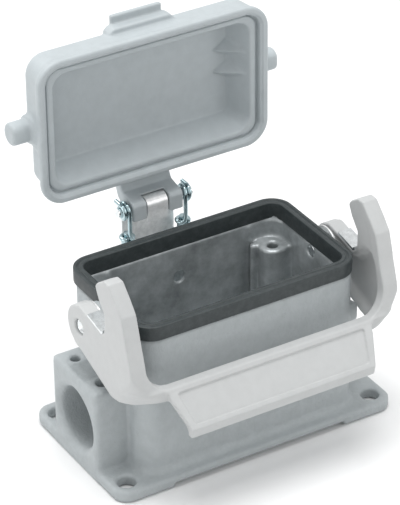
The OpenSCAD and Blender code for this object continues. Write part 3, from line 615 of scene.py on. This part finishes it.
def hollow_out(shell, x, y, h):
    """Two lands step down inside the rim; below them the walls lean inwards."""
    half_x, half_y = COVER_HALF
    for width, depth in LANDS:
        step = round_rect(x, y, half_x - width, half_y - width, COVER_R - width)
        shell = cut(shell, np.maximum(step, h - depth), 0.18)
    outer = round_rect(x, y, half_x - 2.6, half_y - 2.6, COVER_R - 2.6)
    inner = round_rect(x, y, half_x - 3.3, half_y - 3.3, COVER_R - 3.3)
    shell = cut(shell, np.maximum(np.maximum(outer, -inner), h - 2.5), 0.12)
    lean = 0.50 * np.maximum(h - 1.6, 0)
    hollow = round_rect(x, y, half_x - 5.2, half_y - 4.8, 4.6) + lean * 0.894
    hollow = both(hollow, h - (COVER_H - 2.3), 0.4)
    return cut(shell, hollow, 0.45)


def end_ribs(x, y, h):
    """Two ridges on the right end wall, standing out most where they meet the floor."""
    ribs = None
    for middle in (0.4, -6.6):
        ridge = 24.5 + 1.22 * np.maximum(9.1 - h, 0)
        slope = np.where(y < middle, 0.68, 0.55)
        rib = np.maximum((np.abs(y - middle) - slope * (x - ridge)) * 0.8, slab(h, 3.0, 10.5))
        ribs = rib if ribs is None else np.minimum(ribs, rib)
    return np.maximum(ribs, x - 33)


def hinge_arm(x, y, h):
    """Arm and windowed knuckle, from a side outline."""
    local = PIN_Z - COVER_Z
    half_y = COVER_HALF[1]
    side = [(half_y - 3, COVER_H - 1.2), (half_y + 0.5, COVER_H - 0.8),
            (PIN_Y - 3.6, COVER_H - 1.3), (PIN_Y - 1.2, COVER_H - 2.3),
            (PIN_Y + 0.9, local + 4.5), (PIN_Y + KNUCKLE_OUT, local + 3.2),
            (PIN_Y + KNUCKLE_OUT, 0), (PIN_Y - 1.6, 0), (PIN_Y - 2.6, 0.7),
            (PIN_Y - 3.7, local + 3.6),
            (PIN_Y - 8, local + 6), (half_y - 3, local + 6.2)]
    flat_y, flat_h = np.broadcast_arrays(y[0], h[0])
    profile = outline(flat_y, flat_h, side)[None]
    flare = KNUCKLE_HALF + 1.6 * np.clip((half_y + 3.5 - y) / 5, 0, 1) ** 2
    arm = both(profile, np.abs(x) - flare, 0.6)
    bore = rod(y, h, PIN_Y, local, PIN_R + 0.05)
    reach = 3 * KNUCKLE_R
    opening = [(PIN_Y, local), (PIN_Y - 1.2, local + reach), (PIN_Y + reach, local + reach),
               (PIN_Y + reach, local - reach), (PIN_Y - reach, local - reach),
               (PIN_Y - reach, local - 1.4), (PIN_Y - 2.6, local - 1.4)]
    gap = np.minimum(outline(flat_y, flat_h, opening)[None], rod(y, h, PIN_Y, local, PIN_R + 1.4))
    arm = cut(arm, np.maximum(gap, np.abs(x) - 3.9), 0.25)
    return cut(arm, bore, 0.1)


def cover_casting(x, y, z):
    """Shell, ribs and hinge arm; the ribs end inside the walls."""
    h = z - COVER_Z
    in_walls = round_rect(x, y, *(COVER_HALF - 3), COVER_R - 3)
    shell = join(cover_field(x, y, z), np.maximum(end_ribs(x, y, h), in_walls), 0.5)
    return join(shell, hinge_arm(x, y, h), 0.8)


cover_low = (-PEG_END, -COVER_HALF[1] - TAB_OUT, COVER_Z)
cover_high = (PEG_END, PIN_Y + KNUCKLE_OUT, COVER_Z + COVER_H)
cast_piece("cover_casting", cover_casting, cover_low, cover_high, 0.38, "cover_body",
           cover_paint, "cover", place=swing_open)

# %% [markdown]
# ## The lever
# Seen from the side the lever is a pair of hooks; seen from above it is a U with
# round corners; seen from the front it frames a round-cornered window. Three
# views, three outlines: the solid is what lies inside all of them, less the space
# behind its front wall.

# %% Lever outlines
PEG_REACH = COVER_Z + PEG_UP - PIVOT_Z
LOCK = math.radians(43)
ARM_R, FRONT_T, LOBE_R = 28.8, 3.2, 6.6
BAY_RIM, BAY_TOP = 2.1, 8.0
CORNER_R, MOUTH_R = 9.0, 7.5
CORNER_TOP, CORNER_END, CORNER_GROW = -0.9, -8.6, 1.5
BAR_Y, BAR_DROP, BAR_H, BAR_T = 30.9, 7.4, 3.5, 2.8
HANDLE_HALF, HANDLE_TAPER, HANDLE_L, HANDLE_LEAN = 30.2, 2.8, 12.1, math.radians(38.3)
seat = PEG_REACH * np.array([-math.sin(LOCK), math.cos(LOCK)])


def slot_outline():
    """Slot points in peg radii from the seated peg's centre."""
    steps = [(-0.75, -1.8), (-1.25, -1.4), (-1.4, -0.8), (-1.4, 0.4), (-0.5, 1.5),
             (0, 2.5), (0.6, 3.4), (3.4, 3.4), (5.6, 0), (2.9, -1.05)]
    return seat + PEG_R * np.array(steps)


def front_outline():
    """The front edge is a chain of flats, from the hook's tip down to the bar."""
    flats = ARM_R * np.array([(-0.40, 0.72), (-0.52, 0.80), (-0.61, 0.80), (-0.68, 0.73),
                              (-0.745, 0.665), (-0.845, 0.55), (-0.885, 0.42), (-0.93, 0.265),
                              (-1, 0.04), (-1.025, -0.10)])
    return np.vstack([flats, [(-BAR_Y + 0.6, -BAR_DROP + 1), (-BAR_Y, -BAR_DROP)]])


def side_outline():
    """The hook from the side; its lower edge runs straight into the lobe."""
    low = np.vstack([[(-BAR_Y + 0.3, -BAR_DROP - BAR_H)],
                     ARM_R * np.array([(-0.97, -0.40), (-0.86, -0.45), (-0.7, -0.485),
                                       (-0.6, -0.463)]),
                     LOBE_R * np.array([(0.34, -0.94), (0.9, 0), (0.1, 1)])])
    return np.vstack([front_outline(), low])


def behind_outline():
    """Everything behind the front edge."""
    return np.vstack([[(60, 60), (-11.5, 60)], front_outline(), [(-BAR_Y, -30), (60, -30)]])


def handle_outline():
    """The plate from the side, leaning out from the bar."""
    down = np.array([-math.sin(HANDLE_LEAN), -math.cos(HANDLE_LEAN)])
    back = np.array([math.cos(HANDLE_LEAN), -math.sin(HANDLE_LEAN)])
    top = np.array([-BAR_Y, -BAR_DROP - 0.5])
    foot = top + HANDLE_L * down
    return np.array([top + [0.2, 0.5], foot - 0.35 * back, foot + [0.4, -BAR_T],
                     foot + [0.4 + BAR_T * 0.75, -BAR_T], foot + BAR_T * back,
                     top + BAR_T * back, top + [BAR_T, 0.5]])


def handle_front():
    """Half of the plate from the front: it tapers down from a fillet at the corner."""
    fillet_r, fillet_w = 3.6, -BAR_DROP - 2.9
    turn = np.radians(np.arange(0, 91, 10))
    wide = HANDLE_HALF + HANDLE_TAPER
    fillet = np.stack([wide + fillet_r * (1 - np.cos(turn)),
                       fillet_w + fillet_r * np.sin(turn)], axis=1)
    foot_w = -BAR_DROP - 0.5 - HANDLE_L * math.cos(HANDLE_LEAN)
    return np.vstack([[(-30, -40), (HANDLE_HALF, -40), (HANDLE_HALF, foot_w)], fillet,
                      [(wide + fillet_r, 10), (-30, 10)]])


# %% Lever field
def corner_block(ax, y, half_w, front, radius):
    """A block that starts at the front line and has round front corners."""
    p, q = ax - (half_w - radius), (front + radius) - y
    return np.hypot(np.maximum(p, 0), np.maximum(q, 0)) + np.minimum(np.maximum(p, q), 0) - radius


def arms_field(ax, y, w):
    """The two hooks and the bar: side outline and rounded plan, less what is
    between the arms, less the bay in each arm. w is the height above the pivot.
    The corners are sharp at the arms' height and rounder the further down."""
    flat_y, flat_w = np.broadcast_arrays(y[0], w[0])
    hook = outline(flat_y, flat_w, side_outline())
    hook = join(hook, np.hypot(flat_y, flat_w) - LOBE_R, 1.0)
    hook = cut(hook, outline(flat_y, flat_w, slot_outline()), 0.7)
    front = np.interp(w.ravel(), front_outline()[::-1, 1], front_outline()[::-1, 0])[None, None, :]
    front = np.minimum(np.where(w < -BAR_DROP, -BAR_Y, front), -26.5)
    corner = 0.6 + (CORNER_R - 0.6) * np.clip((CORNER_TOP - w) / 8.0, 0, 1) ** 1.2
    corner = corner + CORNER_GROW * np.maximum(CORNER_END - w, 0)
    body = both(both(hook[None], ax - ARM_OUT, 0.5),
                corner_block(ax, y, ARM_OUT, front, corner), 0.4)
    behind = outline(flat_y - FRONT_T, flat_w, behind_outline())
    back_of_wall = -BAR_Y + FRONT_T
    between = both(behind[None],
                   corner_block(ax, y, ARM_IN, back_of_wall, CORNER_R - FRONT_T), 1.0)
    body = cut(body, between, 0.5)
    bay = both(both(hook + BAY_RIM, behind, 2.0), flat_w - BAY_TOP, 3.0)
    bay = cut(bay, np.hypot(flat_y, flat_w) - LOBE_R, 0.6)
    bay = both(bay[None], corner_block(ax, y, WEB_IN, back_of_wall, CORNER_R - 2.6), 1.6)
    body = cut(body, bay, 2.0)
    window = round_rect(ax, w - 30 + BAR_DROP, ARM_IN, 30, MOUTH_R)
    return cut(body, window, 0.5)


def handle_field(ax, y, w):
    """The leaning plate with its sunk panel."""
    flat_y, flat_w = np.broadcast_arrays(y[0], w[0])
    wide_x, wide_w = np.broadcast_arrays(ax[:, 0, :], w[:, 0, :])
    plate = both(outline(flat_y, flat_w, handle_outline())[None],
                 outline(wide_x, wide_w, handle_front())[:, None, :], 0.5)
    c, s = math.cos(HANDLE_LEAN), math.sin(HANDLE_LEAN)
    dy, dw = y + BAR_Y, w + BAR_DROP + 0.5
    down, out = -(s * dy + c * dw), -(c * dy - s * dw)
    panel = both(slab(down, 1.0, HANDLE_L - 1.4), ax - (30.8 - 0.22 * down), 0.8)
    return cut(plate, np.maximum(panel, 0.029 * down - 0.45 - out), 0.1)


def lever_casting(x, y, z):
    """Arms and handle joined, mirrored about x = 0, with the pivot holes."""
    ax, w = np.abs(x), z - PIVOT_Z
    body = join(arms_field(ax, y, w), handle_field(ax, y, w), 0.7)
    return cut(body, rod(y, w, 0, 0, PIVOT_R + 0.05), 0.15)


lo, hi = (np.array(c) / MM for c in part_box("lever"))
cast_piece("lever_casting", lever_casting, lo, hi, 0.31, "lever_body",
           lever_paint, "lever")

# %% [markdown]
# ## Wire, pins and sheet
# The small steel pieces are turned, bent or wound. Turned ones are a profile spun
# about an axis, wound ones are a tube carried along a path.

# %% Turned pieces
def lathe(profile, steps=48):
    """Spin (along, radius) points about X; the first and last radius are 0."""
    along, radius = np.asarray(profile, float).T
    angle = np.linspace(0, 2 * math.pi, steps, endpoint=False)
    ring = np.stack([np.broadcast_to(along[:, None], (len(along), steps)),
                     radius[:, None] * np.cos(angle), radius[:, None] * np.sin(angle)], axis=-1)
    m = len(along)
    i, j = np.meshgrid(np.arange(m - 1), np.arange(steps), indexing="ij")
    j1 = (j + 1) % steps
    faces = np.stack([i * steps + j, i * steps + j1, (i + 1) * steps + j1, (i + 1) * steps + j],
                     axis=-1)
    return ring.reshape(-1, 3), faces.reshape(-1, 4)[:, ::-1]


def weld(piece):
    """Close poles: merge the points that a lathe puts on its axis."""
    work = bmesh.new()
    work.from_mesh(piece.data)
    bmesh.ops.remove_doubles(work, verts=work.verts, dist=1e-7)
    bmesh.ops.recalc_face_normals(work, faces=work.faces)
    work.to_mesh(piece.data)
    work.free()
    piece.data.shade_smooth()
    return piece


# %% Pivot pins and washers
def pivot_pin(side, name):
    """A pin whose outer end is dished, sunk a little in the lever's arm."""
    inner, outer = CAVITY_HALF[0] + 0.2, ARM_OUT - 0.8
    step = CAVITY_HALF[0] + PIN_STEP + 0.05
    end_r, full_r = PIN_END_R - 0.02, PIVOT_R
    profile = [(inner, 0), (inner, PIN_END_R - 0.35), (inner + 0.1, PIN_END_R - 0.15),
               (inner + 0.35, end_r), (step, end_r), (step + 0.02, full_r - 0.2),
               (step + 0.2, full_r), (outer - 0.4, full_r), (outer - 0.1, full_r - 0.12),
               (outer, full_r - 0.4), (outer, full_r - 0.8), (outer - 0.5, full_r - 1.1),
               (outer - 0.6, 0)]
    points, faces = lathe(profile)
    points = points * [side, 1, 1] + [0, 0, PIVOT_Z]
    return weld(mesh_piece(name, points, faces, "base", bright_steel,
                           "pivot_pin_left" if side < 0 else "pivot_pin_right"))


def washer(side, name):
    """A flat ring with broken edges between boss and arm."""
    a, b = BOSS_END + 0.02, BOSS_END + 0.63
    outer, inner = BOSS_R + 0.6, PIVOT_R + 0.05
    section = rounded_section([(a, inner), (a, outer), (b, outer), (b, inner)], 0.15)
    points, faces = lathe(np.vstack([section, section[:1]]))
    points = points * [side, 1, 1] + [0, 0, PIVOT_Z]
    return weld(mesh_piece(name, points, faces, "base", sheet_steel,
                           "pivot_washer_left" if side < 0 else "pivot_washer_right"))


for side, word in ((-1, "left"), (1, "right")):
    pivot_pin(side, f"dished_pivot_pin_{word}")
    washer(side, f"arm_washer_{word}")

# %% [markdown]
# A spring is one path: an eye round the stud, a leg, a coil round the pin and a
# short end. Cutting the path's corners twice makes the bends that a wire needs.

# %% Torsion springs
WIRE_R, COIL_R, EYE_R, TURNS, EYE_Z = 0.65, 2.3, 1.8, 1.25, 46.4
SPRING_X = KNUCKLE_HALF + 0.35 + WIRE_R
STUD_Y = PIN_Y - COIL_R + EYE_R


def spring_path():
    """Eye, leg, coil and short end of the right-hand spring, one point after another."""
    a = np.radians(np.arange(-330, -29, 15))
    eye = np.stack([SPRING_X + EYE_R * np.sin(a), STUD_Y - EYE_R * np.cos(a),
                    np.full(a.shape, EYE_Z)], axis=1)
    leg_y = PIN_Y - COIL_R
    leg = np.array([(SPRING_X, leg_y, EYE_Z + 0.9), (SPRING_X, leg_y, PIN_Z - 1.5)])
    part = np.linspace(0, 1, 31)
    b = math.pi * (1 - 2 * TURNS * part)
    coil = np.stack([SPRING_X + part * TURNS * (2 * WIRE_R + 0.1),
                     PIN_Y + COIL_R * np.cos(b), PIN_Z + COIL_R * np.sin(b)], axis=1)
    end = coil[-1:] + [0, 2.6 - COIL_R * math.cos(b[-1]), 0]
    return np.vstack([eye, leg, coil, end])


def cut_corners(path):
    """Chaikin's rule: every leg keeps its middle half."""
    near, far = 0.75 * path[:-1] + 0.25 * path[1:], 0.25 * path[:-1] + 0.75 * path[1:]
    return np.vstack([path[:1], np.stack([near, far], axis=1).reshape(-1, 3), path[-1:]])


def tube(path, radius, sides=14):
    """Rings across the path, each turned as little as can be from the one before.
    A first and a last ring of radius 0 close the ends."""
    along = np.gradient(path, axis=0)
    along /= np.linalg.norm(along, axis=1, keepdims=True)
    across, last = [], np.array([0.3, 0.2, 1])
    for t in along:
        last = last - t * (last @ t)
        last = last / np.linalg.norm(last)
        across.append(last)
    across = np.array(across)
    third = np.cross(along, across)
    angle = np.linspace(0, 2 * math.pi, sides, endpoint=False)[None, :, None]
    ring = np.cos(angle) * across[:, None] + np.sin(angle) * third[:, None]
    rings = path[:, None] + radius * ring
    rings = np.concatenate([np.broadcast_to(path[0], (1, sides, 3)), rings,
                            np.broadcast_to(path[-1], (1, sides, 3))])
    n = len(rings)
    i, j = np.meshgrid(np.arange(n - 1), np.arange(sides), indexing="ij")
    j1 = (j + 1) % sides
    faces = np.stack([i * sides + j, (i + 1) * sides + j, (i + 1) * sides + j1, i * sides + j1],
                     axis=-1)
    return rings.reshape(-1, 3), faces.reshape(-1, 4)


wire_points, wire_faces = tube(cut_corners(cut_corners(spring_path())), WIRE_R)
for side, word in ((-1, "left"), (1, "right")):
    weld(mesh_piece(f"wound_spring_{word}", wire_points * [side, 1, 1], wire_faces, "base",
                    spring_steel, f"hinge_spring_{word}"))

# %% [markdown]
# The other steel pieces keep their construction meshes and only get a finish.

# %% Dress what is left of the construction model
def dress(node, material):
    """Give a construction mesh one finish."""
    mesh = bpy.data.objects[node].data
    mesh.materials.clear()
    mesh.materials.append(material)


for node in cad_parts:
    finish = {"housing": housing_paint, "cover": cover_paint, "lever": lever_paint,
              "rim_seal": rubber, "hinge_bracket": sheet_steel}.get(node, bright_steel)
    if "spring_" in node:
        finish = spring_steel
    dress(node, finish)

# %% [markdown]
# ## Floor, backdrop and light
# A pale floor that the camera sees as plain white, and big soft lamps.

# %% Studio
def seen_directly(tree):
    """1 for camera, glossy and transmission rays, which get the plain backdrop."""
    path = tree.nodes.new("ShaderNodeLightPath")
    total = path.outputs["Is Camera Ray"]
    for ray in ("Is Glossy Ray", "Is Transmission Ray"):
        either = tree.nodes.new("ShaderNodeMath")
        either.operation = "MAXIMUM"
        tree.links.new(total, either.inputs[0])
        tree.links.new(path.outputs[ray], either.inputs[1])
        total = either.outputs[0]
    return total


world = bpy.data.worlds.new("studio")
bpy.context.scene.world = world
world.use_nodes = True
tree = world.node_tree
ambient = tree.nodes["Background"]
ambient.inputs["Color"].default_value = (0.985, 0.995, 1.0, 1)
ambient.inputs["Strength"].default_value = 0.58
backdrop = tree.nodes.new("ShaderNodeBackground")
backdrop.inputs["Strength"].default_value = 1.0
choose = tree.nodes.new("ShaderNodeMixShader")
tree.links.new(seen_directly(tree), choose.inputs["Fac"])
tree.links.new(ambient.outputs[0], choose.inputs[1])
tree.links.new(backdrop.outputs[0], choose.inputs[2])
tree.links.new(choose.outputs[0], tree.nodes["World Output"].inputs["Surface"])

FLOOR_HALF = 1.5
floor_points = np.array([(-1, -1, 0), (1, -1, 0), (1, 1, 0), (-1, 1, 0)]) * FLOOR_HALF
floor_mesh = bpy.data.meshes.new("studio_floor")
floor_mesh.from_pydata(floor_points.tolist(), [], [(0, 1, 2, 3)])
floor_paint = new_material("floor_paint", (0.9, 0.9, 0.9), 0.9)[0]
floor_mesh.materials.append(floor_paint)
floor = bpy.data.objects.new("studio_floor", floor_mesh)
bpy.context.collection.objects.link(floor)


def soft_lamp(name, place, size, watts, colour=(1, 1, 1)):
    """A square area lamp at place, facing the object's middle."""
    data = bpy.data.lights.new(name, "AREA")
    data.energy, data.size, data.color = watts, size, colour
    lamp = bpy.data.objects.new(name, data)
    bpy.context.collection.objects.link(lamp)
    lamp.location = place
    aim = Vector((0, 0, 0.05)) - Vector(place)
    lamp.rotation_euler = aim.to_track_quat("-Z", "Y").to_euler()


soft_lamp("top_lamp", (0, 0, 1.1), 0.6, 7.5)
soft_lamp("back_lamp", (-0.3, 0.7, 0.8), 0.5, 3.1)
soft_lamp("fill_lamp", (0.6, -0.8, 0.5), 0.5, 1.5)
soft_lamp("left_lamp", (-1.05, 0.05, 0.2), 0.5, 1.8)

bpy.context.scene.view_settings.view_transform = "Standard"
print("lamps (W):", {lamp.name: round(lamp.energy, 1) for lamp in bpy.data.lights})
